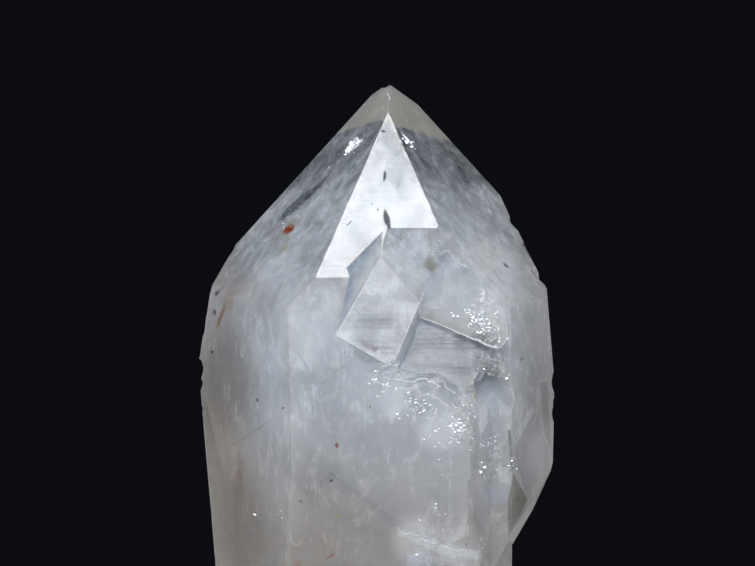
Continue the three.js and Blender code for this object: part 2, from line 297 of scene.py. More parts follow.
def makeFloor():
    # A slab whose outline is a superellipse: cosine and sine raised to a small power, carried down by
    # the slab's thickness
    half, front, back = (studioSettings[name] for name in ("floorHalfWidth", "floorFront", "floorBack"))
    count, power = studioSettings["floorPoints"], studioSettings["floorCorner"]
    turn = np.linspace(0, 2 * math.pi, count, endpoint=False)
    across = half * np.sign(np.cos(turn)) * np.abs(np.cos(turn)) ** power
    along = (back - front) / 2 * np.sign(np.sin(turn)) * np.abs(np.sin(turn)) ** power + (back + front) / 2
    top = np.stack([across, along, np.zeros(count)], -1)
    here = np.arange(count)
    sides = np.stack([here, here + count, (here + 1) % count + count, (here + 1) % count], -1)
    faces = sides.tolist() + [here.tolist(), (here[::-1] + count).tolist()]
    points = np.concatenate([top, top - (0, 0, studioSettings["floorThickness"])])
    floor = makePiece("floor", points, faces)
    floor.data.materials.append(floorMaterial())


makeStudio()
makeFloor()
print("studio ready")


# Quartz: one piece, clear under the tip and milky below

quartzSettings = {
    "indexOfRefraction": 1.544,
    "absorptionColour": (0.86, 0.88, 0.90, 1),
    "absorptionDensity": 6.0,
    "milkColour": (0.80, 0.835, 0.90, 1),
    "cloudColour": (0.60, 0.63, 0.68, 1),
    "warmAndShadeColour": (0.52, 0.455, 0.40, 1),
    "paleAndLitColour": (0.88, 0.915, 0.98, 1),
    "tipColour": (0.645, 0.62, 0.56, 1),
    "frostColour": (0.90, 0.92, 0.95, 1),
    "inwardShare": 1.0,
    "inwardReach": (0.013, 0.0138, 0.0148),
    "growthLine": 155.4,
    "growthLineSlope": 0.34,
    "tipClarity": (0.36, 0.36, 0.36, 1),
    "clearest": 0.90,
    "milkiest": 0.10,
    "polish": 0.07,
    "frosted": 0.42,
    "faceGrid": 1.7,
    "edgeGrid": 0.6,
    "brokenGrid": 0.5,
    "sharpFrom": 14.0,
    "mostTriangles": 190000,
    "edgeWear": 0.16,
    "relief": 0.10,
    "brokenRelief": 0.34,
    "speckColour": (0.10, 0.07, 0.05, 1),
    "growthLineMiddle": 1.5,
    "needleTurn": (0.2, 0.35, 0.15),
    "needleStretch": (1.0, 1.0, 0.22),
    "pitTurn": (0.5, 0.1, -0.6),
    "facetAngle": 30,
}

# noises of the stone: stretch, scale per millimetre, detail, roughness and distortion
quartzNoises = {
    "wide": ((1, 1, 0.75), 0.085, 5, 0.6, 0.6),
    "mottle": ((1, 1, 0.8), 0.36, 5, 0.62, 0.3),
    "grain": ((1, 1, 1), 1.7, 4, 0.7),
    "drawn": ((1, 1, 0.36), 0.12, 4, 0.6, 1.1),
    "blot": ((1, 1, 1), 1.1, 4, 0.6),
    "tear": ((1, 1, 0.8), 2.1, 4, 0.7),
    "speckle": ((1, 1, 1), 0.13, 2),
    "crumble": ((1, 1, 1), 0.9, 4, 0.65),
    "flake": ((1, 1, 1), 0.75, 4, 0.72, 0.8),
    "smear": ((1, 1, 0.6), 0.22, 4, 0.6, 0.5),
    "lines": ((0.12, 0.12, 2.2), 1.0, 3, 0.5),
}

# heights and distances in millimetres between which the stone changes
quartzZones = {
    "clear": (130.0, 145.0),
    "thinMilk": (92, 68),
    "shoulder": (116, 133),
    "warmFoot": (109, 72),
    "warmSide": (14, -14),
    "leftEdge": (-20, -31),
    "leftEdgeHeight": (134, 104),
    "leftSlope": (-17, -25),
    "leftSlopeHeight": (118, 124),
    "rightEdge": (24, 33),
    "stirred": (108, 136),
    "nicked": (125, 118),
}

frontEndFacing = (0.0, -0.786, 0.618)  # the end face that mirrors the softbox
freshCentre, freshReach = (8.0, -29.0, 107.0), (24.0, 14.0, 26.0)  # freshly broken ground round the block

# patches of small fracture flakes: centre and radius in millimetres, and how dense they are
flakePatches = [
    ((21.0, -24.6, 118.0), 4.6, 1.0),
    ((2.3, -29.4, 107.0), 3.2, 1.0),
    ((8.6, -29.6, 103.0), 4.5, 0.7),
    ((24.0, -24.4, 109.0), 4.2, 0.8),
    ((18.7, -28.0, 101.0), 4.0, 0.8),
    ((16.2, -29.5, 98.0), 3.6, 0.8),
    ((15.0, -29.5, 94.5), 2.4, 0.6),
    ((13.0, -29.5, 88.0), 4.0, 0.25),
    ((-6.3, -29.7, 110.2), 3.4, 0.5),
    ((-10.1, -29.7, 105.0), 3.6, 0.4),
    ((12.9, -29.7, 75.7), 8.0, 0.4),
    ((22.5, -22.0, 90.0), 7.0, 0.45),
    ((-16.6, -7.8, 136.2), 2.6, 0.5),
    ((-17.5, -11.7, 129.0), 2.4, 0.35),
    ((13.4, -20.6, 131.5), 3.2, 0.5),
]

# paler patches, partly milkier stone and partly painted light on faces of the block, and darker ones with a
# share below 0, painted shade on the panel under the tongue and on the sides: centre, radius and share
milkAndPaintedLightPatches = [
    ((7.0, -25.5, 128.8), 6.5, 0.45),
    ((18.0, -25.0, 120.0), 9.0, 0.45),
    ((-3.6, -26.5, 123.4), 5.5, 0.25),
    ((-2.2, -26.5, 128.5), 6.5, 0.6),
    ((1.0, -29.5, 115.5), 7.0, -0.40),
    ((-10.0, -29.7, 119.0), 11.0, 0.35),
    ((0.0, -29.7, 106.0), 9.0, 0.2),
    ((-20.0, -22.0, 112.0), 9.0, 0.3),
    ((-20.0, -14.0, 129.0), 9.0, 0.35),
    ((24.0, -14.0, 128.5), 11.0, 0.70),
    ((-4.5, -6.5, 147.0), 4.5, 0.30),
    ((19.5, -24.4, 109.5), 6.5, -1.0),
    ((12.0, -27.5, 111.0), 6.5, -0.6),
    ((31.0, -9.0, 103.0), 9.0, -0.5),
    ((31.0, -11.0, 90.0), 5.0, 0.3),
    ((23.0, -24.5, 101.5), 4.5, 0.45),
    ((26.8, -17.5, 80.0), 4.5, -1.0),
    ((-30.0, -6.0, 104.0), 12.0, -0.8),
    ((-26.0, -10.0, 76.0), 12.0, -0.6),
    ((-17.5, -25.5, 112.0), 6.0, 0.3),
    ((-17.5, -25.5, 99.0), 6.5, 0.35),
    ((-17.0, -26.0, 84.0), 6.0, 0.2),
    ((-11.0, -29.7, 88.0), 6.0, -0.2),
    ((8.0, -29.7, 75.5), 5.0, 0.8),
    ((16.5, -28.7, 73.5), 5.0, 0.7),
    ((3.5, -29.7, 102.5), 4.0, 0.5),
    ((12.5, -29.5, 97.0), 4.5, 0.45),
]

# facets of the panel, the side growth and the broken foot painted paler or darker than the stone round
# them, painted reflection and shade in place of the light that bounces inside the crystal: the corners of
# each as seen from the front (across and up, in millimetres), its colour, its strength and how ragged its
# edge is
paintedFacetLights = [
    ([(32.1, 98.9), (35.3, 88.6), (30.6, 82.2), (26.9, 89.2), (27.5, 92.0)],
     (0.46, 0.47, 0.55), 0.48, 0.3),
    ([(27.4, 87.6), (30.3, 81.6), (26.4, 75.0), (26.3, 82.0)], (0.13, 0.13, 0.085), 0.62, 0.3),
    ([(35.2, 88.4), (35.9, 86.6), (27.9, 74.7), (26.9, 75.0), (30.6, 81.9)],
     (0.66, 0.66, 0.72), 0.35, 0.3),
    ([(27.3, 92.1), (26.8, 93.9), (31.1, 99.8), (32.0, 98.9)], (0.80, 0.82, 0.86), 0.50, 0.3),
    ([(15.4, 113.4), (24.2, 112.4), (24.8, 105.0), (16.2, 106.6)], (0.44, 0.46, 0.52), 0.34, 1.3),
    ([(33.0, 104.0), (34.6, 104.0), (35.4, 90.5), (34.0, 93.5)], (0.17, 0.16, 0.14), 0.35, 0.3),
    ([(26.2, 96.0), (26.8, 96.0), (27.4, 88.0), (26.9, 88.0)], (0.12, 0.12, 0.09), 0.55, 0.3),
    ([(24.0, 88.4), (26.3, 88.8), (26.8, 85.4), (24.7, 85.8)], (0.92, 0.94, 1.0), 0.65, 0.3),
    ([(20.9, 84.6), (25.7, 85.0), (26.3, 82.2), (22.6, 81.2)], (0.70, 0.72, 0.88), 0.45, 0.3),
    ([(6.7, 72.5), (9.1, 73.3), (11.5, 72.3), (11.5, 66.0), (5.9, 66.0)], (0.76, 0.82, 0.92), 0.55, 0.3),
    ([(4.7, 78.1), (11.5, 75.9), (12.3, 73.3), (4.7, 76.5)], (0.95, 0.97, 1.0), 0.5, 1.1),
    ([(11.5, 75.9), (20.7, 72.7), (21.1, 70.9), (12.3, 73.3)], (0.95, 0.97, 1.0), 0.65, 1.0),
]

# stains and inclusions that show at the surface: centre, half sizes, long direction, colour and strength
stains = [
    ((-16.9, -7.8, 134.4), (2.3, 1.8, 2.4), (1, -0.3, 0.1), (0.42, 0.38, 0.24), 0.55),
    ((-16.6, -7.8, 134.2), (1.25, 1.6, 0.85), (1, -0.3, 0.1), (0.36, 0.035, 0.001), 1.0),
    ((-17.5, -11.7, 130.7), (1.2, 0.9, 0.9), (1, 0, 0), (0.50, 0.45, 0.25), 0.6),
    ((-15.2, -3.0, 138.8), (4.6, 2.0, 1.3), (0.75, -0.2, 0.66), (0.07, 0.085, 0.12), 0.85),
    ((-11.2, -4.8, 142.1), (3.6, 1.4, 0.6), (0.62, -0.2, 0.75), (0.07, 0.08, 0.11), 0.85),
    ((-30.3, -5.0, 116.4), (2.8, 1.4, 0.6), (0.35, -0.5, 0.8), (0.36, 0.16, 0.06), 0.75),
    ((-31.1, -3.3, 121.1), (0.7, 0.7, 0.55), (1, 0, 0), (0.05, 0.05, 0.055), 0.85),
    ((-31.7, -2.7, 117.2), (0.55, 0.7, 0.6), (1, 0, 0), (0.06, 0.055, 0.05), 0.85),
    ((-32.2, -1.7, 109.1), (0.45, 0.7, 0.45), (1, 0, 0), (0.10, 0.06, 0.02), 0.9),
    ((-28.6, -8.1, 120.2), (2.2, 2.0, 2.4), (0, 0, 1), (0.36, 0.27, 0.19), 0.55),
    ((25.9, -12.4, 127.4), (0.5, 0.5, 0.75), (0.3, 0, 1), (0.05, 0.05, 0.06), 0.85),
    ((11.1, -22.6, 128.3), (1.3, 1.2, 1.2), (1, 0, 0), (0.33, 0.31, 0.22), 0.6),
    ((-0.9, -29.9, 113.3), (1.6, 1.2, 0.45), (0.8, 0, -0.55), (0.20, 0.15, 0.24), 0.7),
    ((0.6, -30.0, 112.7), (0.7, 0.8, 0.35), (1, 0, 0), (0.20, 0.14, 0.20), 0.7),
    ((-24.2, -15.0, 94.3), (8.4, 1.2, 0.14), (0.45, -0.8, 0.39), (0.34, 0.31, 0.18), 0.55),
    ((-6.9, -29.7, 94.1), (0.3, 0.5, 0.42), (1, 0, 0), (0.22, 0.09, 0.035), 0.9),
    ((-3.0, -29.7, 89.9), (0.25, 0.5, 0.28), (1, 0, 0), (0.30, 0.25, 0.12), 0.6),
    ((-8.0, -29.7, 87.2), (0.3, 0.8, 0.25), (1, 0, -0.7), (0.03, 0.025, 0.03), 0.9),
    ((-22.6, -18.0, 101.4), (0.32, 0.5, 0.32), (1, 0, 0), (0.16, 0.08, 0.05), 0.85),
    ((-17.2, -27.0, 101.0), (0.5, 0.8, 0.2), (0.8, -0.4, 0.35), (0.16, 0.09, 0.06), 0.8),
    ((-6.5, -28.2, 80.2), (0.4, 0.8, 0.6), (0.3, 0, 1), (0.45, 0.40, 0.16), 0.6),
    ((-8.2, -27.7, 72.2), (0.9, 0.9, 0.35), (0.8, 0, 0.5), (0.34, 0.18, 0.12), 0.7),
    ((-14.6, -27.5, 70.4), (0.8, 0.8, 0.8), (1, 0, 0), (0.38, 0.20, 0.16), 0.6),
    ((-27.0, -9.6, 78.0), (11.0, 3.0, 1.7), (0.14, -0.05, 1), (0.27, 0.21, 0.195), 0.7),
    ((15.7, -25.7, 108.3), (0.5, 0.7, 0.3), (1, 0, 0), (0.40, 0.26, 0.22), 0.5),
    ((2.8, -21.3, 137.0), (1.9, 0.5, 0.26), (0.2, -0.6, -0.75), (0.10, 0.10, 0.12), 0.95),
    ((2.2, -15.1, 144.9), (1.3, 0.3, 0.08), (0.12, 0.6, 0.78), (0.12, 0.13, 0.16), 0.8),
    ((0.9, -19.9, 138.8), (0.15, 0.3, 0.15), (1, 0, 0), (0.12, 0.13, 0.16), 0.8),
    ((-0.1, -19.0, 139.9), (0.12, 0.3, 0.12), (1, 0, 0), (0.12, 0.13, 0.16), 0.8),
    ((-4.8, -21.9, 136.2), (0.9, 0.3, 0.09), (0.6, 0.5, 0.6), (0.14, 0.15, 0.18), 0.7),
    ((1.8, -8.3, 153.5), (0.5, 0.5, 0.3), (1, 0, 0), (0.14, 0.14, 0.16), 0.9),
    ((29.1, -18.1, 109.4), (0.3, 0.6, 0.3), (1, 0, 0), (0.22, 0.12, 0.08), 0.7),
]


def mergedTriangles(nodeName):
    # The CAD node's corners in millimetres, each once, and its triangles
    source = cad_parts[nodeName].data
    points = readPoints(source)
    corners = np.empty(len(source.loops), np.int64)
    source.loops.foreach_get("vertex_index", corners)
    _, first, same = np.unique(np.round(points, 3), axis=0, return_index=True, return_inverse=True)
    triangles = same.ravel()[corners].reshape(-1, 3)
    whole = (triangles != np.roll(triangles, -1, axis=1)).all(1)
    return points[first], triangles[whole]


def unitVectors(vectors):
    return vectors / np.maximum(np.linalg.norm(vectors, axis=1, keepdims=True), 1e-12)


def faceNormals(points, triangles):
    a, b, c = (points[triangles[:, corner]] for corner in range(3))
    return unitVectors(np.cross(b - a, c - a))


def edgeFacts(points, triangles):
    # Every edge once, which three edges each triangle has, how far the two faces at an edge turn, and
    # whether the edge stands out
    corners = np.concatenate([triangles[:, [0, 1]], triangles[:, [1, 2]], triangles[:, [2, 0]]])
    corners.sort(axis=1)
    keys = corners[:, 0] * len(points) + corners[:, 1]
    keys, inverse, number = np.unique(keys, return_inverse=True, return_counts=True)
    edges = np.stack([keys // len(points), keys % len(points)], -1)
    normals = faceNormals(points, triangles)
    owner = np.tile(np.arange(len(triangles)), 3)[np.argsort(inverse, kind="stable")]
    first = np.cumsum(number) - number
    one, two = owner[first], owner[first + number - 1]
    turn = np.degrees(np.arccos(np.clip((normals[one] * normals[two]).sum(1), -1, 1)))
    centres = points[triangles].mean(1)
    outwards = ((centres[two] - centres[one]) * normals[one]).sum(1) < 0
    return edges, inverse.reshape(3, -1).T, turn, outwards


def patchShare(points, patches, wobble=0.0):
    # The strongest of the patches that a point lies in, fading out over their rims
    share = np.zeros(len(points))
    for centre, radius, strength in patches:
        away = np.linalg.norm(points - np.array(centre), axis=1) / radius
        here = strength * smoothStep(1.25, 0.45, away + wobble)
        share = np.where(np.abs(here) > np.abs(share), here, share)
    return share


def milkCloud(points):
    # Wide clouds, drawn out upwards
    return layeredNoise(points * (1, 1, 0.7), 15.0, 41, 5)


def brokenness(points):
    return patchShare(points, flakePatches, 0.35 * milkCloud(points))


def splitOnce(points, triangles, sizes):
    # Long edges get a new point in the middle, where an edge that touches a sharp one counts as long
    # sooner. A triangle with one, two or three new points falls into two, three or four.
    edges, sides, turn, _ = edgeFacts(points, triangles)
    onSharp = np.zeros(len(points), bool)
    onSharp[edges[turn > sizes["sharpFrom"]]] = True
    span = np.linalg.norm(points[edges[:, 0]] - points[edges[:, 1]], axis=1)
    limit = np.where(onSharp[edges].any(1), sizes["edgeGrid"], sizes["faceGrid"])
    if "brokenGrid" in sizes:
        limit[brokenness(points[edges].mean(1)) > 0.05] = sizes["brokenGrid"]
    longest = np.zeros(len(edges))
    np.maximum.at(longest, sides.ravel(), np.repeat(span[sides].max(1), 3))
    split = (span > limit) & (span > 0.7 * longest)
    added = np.full(len(edges), -1)
    added[split] = len(points) + np.arange(split.sum())
    points = np.concatenate([points, points[edges[split]].mean(1)])
    middle = added[sides]
    number = (middle >= 0).sum(1)
    lone = np.where(number == 1, np.argmax(middle >= 0, axis=1), np.argmax(middle < 0, axis=1) + 1) % 3
    lone[(number == 0) | (number == 3)] = 0
    order = (lone[:, None] + np.arange(3)) % 3
    corner, middle = np.take_along_axis(triangles, order, 1), np.take_along_axis(middle, order, 1)
    (a, b, c), (ab, bc, ca) = corner.T, middle.T
    parts = [corner[number == 0]]
    for count, pieces in (
        (1, ((a, ab, c), (ab, b, c))),
        (2, ((ab, b, bc), (a, ab, bc), (a, bc, c))),
        (3, ((a, ab, ca), (ab, b, bc), (ca, bc, c), (ab, bc, ca))),
    ):
        parts += [np.stack(piece, -1)[number == count] for piece in pieces]
    return points, np.concatenate(parts), int(split.sum())


def neighbourMean(values, edges, count):
    total, number = np.zeros(count), np.zeros(count)
    np.add.at(total, edges[:, 0], values[edges[:, 1]])
    np.add.at(total, edges[:, 1], values[edges[:, 0]])
    np.add.at(number, edges.ravel(), 1)
    return total / number


def pointNormals(points, triangles):
    # Each point's normal is the sum of the unit normals of its faces
    faces = faceNormals(points, triangles)
    normals = np.zeros_like(points)
    for corner in range(3):
        np.add.at(normals, triangles[:, corner], faces)
    return unitVectors(normals)


def fineSkin(nodeName, sizes):
    # The CAD node's surface in small triangles
    points, triangles = mergedTriangles(nodeName)
    added = 1
    while added:
        finerPoints, finerTriangles, added = splitOnce(points, triangles, sizes)
        if len(finerTriangles) > sizes["mostTriangles"]:
            break
        points, triangles = finerPoints, finerTriangles
    print(nodeName, "skin:", len(triangles), "triangles")
    return points, triangles


def reliefDepth(points, normals, edges, ridge, crease):
    # Low relief on the upright faces, fading out at the edges: a faint swell and growth steps
    upright = smoothStep(0.35, 0.12, np.abs(normals[:, 2]))
    nearEdge = np.maximum(ridge, crease)
    for _ in range(2):
        nearEdge = np.maximum(nearEdge, neighbourMean(nearEdge, edges, len(points)))
    swell = 0.5 + 0.5 * layeredNoise(points, 9.0, 31, 3)
    steps = 0.5 + 0.5 * np.sin(points[:, 2] * 1.3 + 2.4 * layeredNoise(points, 14.0, 21, 3))
    relief = quartzSettings["relief"] * upright * (0.8 * swell + 0.4 * steps ** 2)
    return relief * (1 - np.clip(nearEdge, 0, 1))


def crumbledDepth(points):
    # Small ridges with sharp crests in the broken patches, where a noise crosses zero
    crests = 1 - np.abs(layeredNoise(points, 1.9, 51, 3)) * 2.4
    crests = np.maximum(crests, 1 - np.abs(layeredNoise(points * (1, 1, 0.45), 2.6, 61, 2)) * 2.6)
    return quartzSettings["brokenRelief"] * brokenness(points) * (1 - np.clip(crests, 0, 1))


def nickDepth(points, ridge):
    # Edges stay crisp but for nicks
    nicks = smoothStep(0.28, 0.62, layeredNoise(points, 3.0, 11, 3))
    nicks = nicks * smoothStep(*quartzZones["nicked"], points[:, 2])
    return quartzSettings["edgeWear"] * ridge * nicks


def shapeQuartz():
    # The CAD node's own surface, pushed in by the sum of three depths
    points, triangles = fineSkin("crystal", quartzSettings)
    edges, _, turn, outwards = edgeFacts(points, triangles)
    normals = pointNormals(points, triangles)
    sharp = smoothStep(12, 40, turn)
    ridge, crease = np.zeros(len(points)), np.zeros(len(points))
    np.maximum.at(ridge, edges.ravel(), np.repeat(sharp * outwards, 2))
    np.maximum.at(crease, edges.ravel(), np.repeat(sharp * ~outwards, 2))
    depth = reliefDepth(points, normals, edges, ridge, crease)
    depth += crumbledDepth(points)
    depth += nickDepth(points, ridge)
    points = insideBox(points - normals * depth[:, None], "crystal")
    piece = makePiece("quartzPoint", points * mm, triangles.tolist(), True)
    for name, values in quartzFields(points, normals, ridge).items():
        addValues(piece, name, values)
    piece.data.set_sharp_from_angle(angle=math.radians(quartzSettings["facetAngle"]))
    return piece


def quartzFields(points, normals, ridge):
    # What the material reads at each point, from its place in millimetres and its facing
    x, y, z = points.T
    zones = quartzZones
    cloud = milkCloud(points)
    # clear zone above a ragged edge of milk; the front end face keeps an even milk under its gloss
    aboveMilk = smoothStep(*zones["clear"], z + 8.0 * cloud - 0.12 * np.abs(x - 3))
    body = 0.20 + 0.16 * cloud + 0.14 * smoothStep(*zones["thinMilk"], z)
    shoulder = 0.20 * smoothStep(*zones["shoulder"], z)
    frontEnd = smoothStep(0.985, 0.997, normals @ np.array(frontEndFacing))
    clarity = np.maximum(0.72 * aboveMilk, body + shoulder * (1 - aboveMilk))
    # paler patches of milky stone and painted light, and darker patches of painted shade below 0
    milkAndPaintedLight = patchShare(points, milkAndPaintedLightPatches, 0.25 * cloud) * (1 - frontEnd)
    clarity = np.clip(clarity * (1 - frontEnd) + 0.28 * frontEnd - 0.35 * milkAndPaintedLight, 0, 1)
    # darker, warmer colour towards the foot, the left side and the right edge: partly a brown tint of the
    # stone, partly painted shade where the light falls off towards the edges
    warmAndShaded = 0.85 * smoothStep(*zones["warmFoot"], z + 5 * cloud)
    warmAndShaded *= 0.62 + 0.38 * smoothStep(*zones["warmSide"], x)
    warmAndShaded += 0.75 * smoothStep(*zones["leftEdge"], x + 3 * cloud) * smoothStep(*zones["leftEdgeHeight"], z)
    slope = x + 0.9 * (z - 122) + 2 * cloud
    warmAndShaded += 0.45 * smoothStep(*zones["leftSlope"], slope) * smoothStep(*zones["leftSlopeHeight"], z)
    warmAndShaded += 0.40 * smoothStep(*zones["rightEdge"], x + 3 * cloud)
    # how strongly the milk is stirred: hardly in the body, strongly under the end faces
    stir = (0.12 + 0.88 * smoothStep(*zones["stirred"], z + 4 * cloud)) * (1 - 0.8 * frontEnd)
    # edges stay white round the freshly broken block, as frost and a painted edge highlight, and faint
    # elsewhere
    away = np.linalg.norm((points - freshCentre) / freshReach, axis=1)
    fresh = 0.10 + 0.90 * smoothStep(1.15, 0.75, away)
    return {"clarity": clarity, "warmthAndEdgeShade": np.clip(warmAndShaded, 0, 1), "ridge": np.clip(ridge, 0, 1) * fresh,
            "flakes": brokenness(points), "stir": stir, "milkAndPaintedLight": milkAndPaintedLight, "gloss": frontEnd}


def growthLine(tree, layer):
    # Share above a line under the tip that falls on both sides of the axis
    x, _, z = layer["spread"].outputs
    slope = times(tree, mathNode(tree, "ABSOLUTE", minus(tree, x, quartzSettings["growthLineMiddle"])),
                  quartzSettings["growthLineSlope"])
    over = plus(tree, minus(tree, z, quartzSettings["growthLine"]), slope)
    over = plus(tree, over, times(tree, minus(tree, layer["mottle"], 0.5), 0.8))
    return rangeNode(tree, over, -0.15, 0.45, smooth=True)


def quartzLayers(tree):
    # Everything that the colour, the clearness, the roughness and the relief are mixed from
    place = millimetres(tree)
    layer = {name: noise(tree, place, *values) for name, values in quartzNoises.items()}
    for name in ("clarity", "warmthAndEdgeShade", "ridge", "flakes", "stir", "milkAndPaintedLight", "gloss"):
        layer[name] = attribute(tree, name)
    layer["place"] = place
    layer["spread"] = addNode(tree, "ShaderNodeSeparateXYZ", {0: place})
    # veils: thin bent sheets, where a drawn-out noise crosses its middle value
    veil = mathNode(tree, "ABSOLUTE", minus(tree, layer["drawn"], 0.5))
    veil = rangeNode(tree, veil, 0.06, 0.0, smooth=True)
    veil = times(tree, veil, rangeNode(tree, layer["mottle"], 0.45, 0.68))
    layer["veil"] = times(tree, veil, minus(tree, 1.0, layer["gloss"]))
    # needles: short thin upright strokes, thickest on the shoulders
    values = {"Vector": stretched(tree, place, quartzSettings["needleStretch"])}
    values["Rotation"] = quartzSettings["needleTurn"]
    leaning = addNode(tree, "ShaderNodeMapping", values).outputs[0]
    needles = noise(tree, leaning, (1, 1, 1), 1.15, 3, 0.5, 0.2)
    shoulders = rangeNode(tree, layer["wide"], 0.46, 0.60)
    layer["needles"] = times(tree, rangeNode(tree, needles, 0.62, 0.72), shoulders)
    layer["aboveLine"] = growthLine(tree, layer)
    layer["blot"] = times(tree, minus(tree, layer["blot"], 0.5), 1.9)
    layer["torn"] = rangeNode(tree, layer["tear"], 0.34, 0.48, 0.45, 1.0)
    # a scatter of fine dark specks
    cell = addNode(tree, "ShaderNodeTexVoronoi", {"Vector": place, "Scale": 0.24, "Randomness": 1.0})
    speckSize = rangeNode(tree, layer["speckle"], 0.5, 0.75, 0.0, 0.10)
    layer["speck"] = mathNode(tree, "LESS_THAN", cell.outputs["Distance"], speckSize)
    # white frost and painted highlight: white on the edges, partly worn frost and partly painted edge
    # highlight, and white fracture flakes
    layer["flakeMask"] = times(tree, layer["flakes"], rangeNode(tree, layer["flake"], 0.47, 0.62))
    crumble = rangeNode(tree, rangeNode(tree, layer["crumble"], 0.38, 0.62), 0, 1, 0.25, 0.85)
    edges = times(tree, rangeNode(tree, layer["ridge"], 0.35, 0.95), crumble)
    layer["frost"] = larger(tree, edges, times(tree, layer["flakeMask"], 0.8))
    return layer


def paintedFacetLightMask(tree, layer, corners, strength, ragged):
    # A place is inside the outline when it lies on the inner side of each of its edges, and the painted
    # reflection and shade go only on the front of the crystal
    corners = np.array(corners)
    inside = None
    for here, there in zip(corners, np.roll(corners, -1, axis=0)):
        inwards = np.array((here[1] - there[1], there[0] - here[0])) / np.linalg.norm(there - here)
        if (corners.mean(0) - here) @ inwards < 0:
            inwards = -inwards
        depth = vectorNode(tree, "DOT_PRODUCT", layer["place"], (inwards[0], 0.0, inwards[1]))
        depth = minus(tree, depth, float(here @ inwards))
        inside = depth if inside is None else mathNode(tree, "MINIMUM", inside, depth)
    inside = plus(tree, inside, times(tree, layer["blot"], ragged))
    mask = rangeNode(tree, inside, -0.15, 0.15, 0.0, strength, True)
    front = rangeNode(tree, layer["spread"].outputs[1], -2.0, -6.0)
    return times(tree, mask, times(tree, layer["torn"], front))


def stainMask(tree, layer, centre, half, along, strength):
    # An ellipsoid with a ragged rim; only the strongest stain isn't torn
    turn = Vector(along).to_track_quat("X", "Z").to_euler()
    values = {"Vector": layer["place"], "Location": centre, "Rotation": turn, "Scale": half}
    local = addNode(tree, "ShaderNodeMapping", values, vector_type="TEXTURE").outputs[0]
    away = plus(tree, vectorNode(tree, "LENGTH", local), layer["blot"])
    mask = rangeNode(tree, away, 1.5, 0.7, 0.0, strength, True)
    return mask if strength == 1 else times(tree, mask, layer["torn"])


def quartzColour(tree, layer):
    # Milk, milky patches with painted light and shade, veils, brown tint with painted shade, needles, the
    # band above the growth line, painted facet light and shade, stains, specks, and frost with painted edge
    # highlight, one over the other
    settings = quartzSettings
    milk = plus(tree, times(tree, layer["mottle"], 0.35), times(tree, layer["grain"], 0.15))
    milk = plus(tree, times(tree, layer["wide"], 0.5), milk)
    # the painted light and shade patches brighten or darken the milk
    milk = plus(tree, rangeNode(tree, milk, 0.32, 0.70), times(tree, layer["milkAndPaintedLight"], 0.5))
    milk = rangeNode(tree, milk, 0.0, 1.0)
    colour = mixColour(tree, milk, settings["cloudColour"], settings["milkColour"])
    colour = mixColour(tree, rangeNode(tree, layer["milkAndPaintedLight"], 0.0, 1.0), colour, settings["paleAndLitColour"])
    colour = mixColour(tree, times(tree, layer["veil"], 0.28), colour, settings["paleAndLitColour"])
    # brown tint together with painted shade towards the foot and the sides
    warmAndShaded = times(tree, layer["warmthAndEdgeShade"], rangeNode(tree, layer["mottle"], 0.25, 0.65, 0.55, 1.0))
    colour = mixColour(tree, warmAndShaded, colour, settings["warmAndShadeColour"])
    colour = mixColour(tree, times(tree, layer["needles"], 0.42), colour, settings["frostColour"])
    colour = mixColour(tree, times(tree, layer["aboveLine"], 0.9), colour, settings["tipColour"])
    # painted reflection and shade on single facets
    for corners, tone, strength, ragged in paintedFacetLights:
        colour = mixColour(tree, paintedFacetLightMask(tree, layer, corners, strength, ragged), colour, (*tone, 1))
    layer["stained"] = 0.0
    for centre, half, along, tone, strength in stains:
        mask = stainMask(tree, layer, centre, half, along, strength)
        colour = mixColour(tree, mask, colour, (*tone, 1))
        layer["stained"] = larger(tree, layer["stained"], mask)
    colour = mixColour(tree, times(tree, layer["speck"], 0.55), colour, settings["speckColour"])
    # white frost, white flakes and painted highlight along the edges
    return mixColour(tree, layer["frost"], colour, settings["frostColour"])


def quartzThrough(tree, layer, clarity):
    # How much light goes through: less in milk, in stains, in frost and under the painted edge highlight
    broad = plus(tree, times(tree, layer["wide"], 0.5), times(tree, layer["mottle"], 0.5))
    stirred = times(tree, minus(tree, 0.5, broad), times(tree, layer["stir"], 2.1))
    stirred = times(tree, stirred, minus(tree, 1.0, layer["aboveLine"]))
    through = minus(tree, plus(tree, clarity, stirred), times(tree, layer["veil"], 0.25))
    through = minus(tree, through, times(tree, layer["needles"], 0.25))
    solid = larger(tree, larger(tree, layer["stained"], layer["frost"]), times(tree, layer["speck"], 0.6))
    through = times(tree, through, minus(tree, 1.0, solid))
    return rangeNode(tree, through, 0.0, 1.0, quartzSettings["milkiest"], quartzSettings["clearest"])


def quartzRoughness(tree, layer):
    # Smooth on the facets, smeared on the bright end face, dull on frost and in broken patches
    polish = quartzSettings["polish"]
    roughness = rangeNode(tree, layer["grain"], 0.3, 0.7, polish, polish * 2.4)
    smear = plus(tree, layer["smear"], rangeNode(tree, layer["spread"].outputs[2], 138, 154, -0.08, 0.16))
    smear = times(tree, rangeNode(tree, smear, 0.40, 0.72, 0.0, 0.17), layer["gloss"])
    roughness = plus(tree, roughness, smear)
    return plus(tree, roughness, times(tree, layer["frost"], quartzSettings["frosted"]))


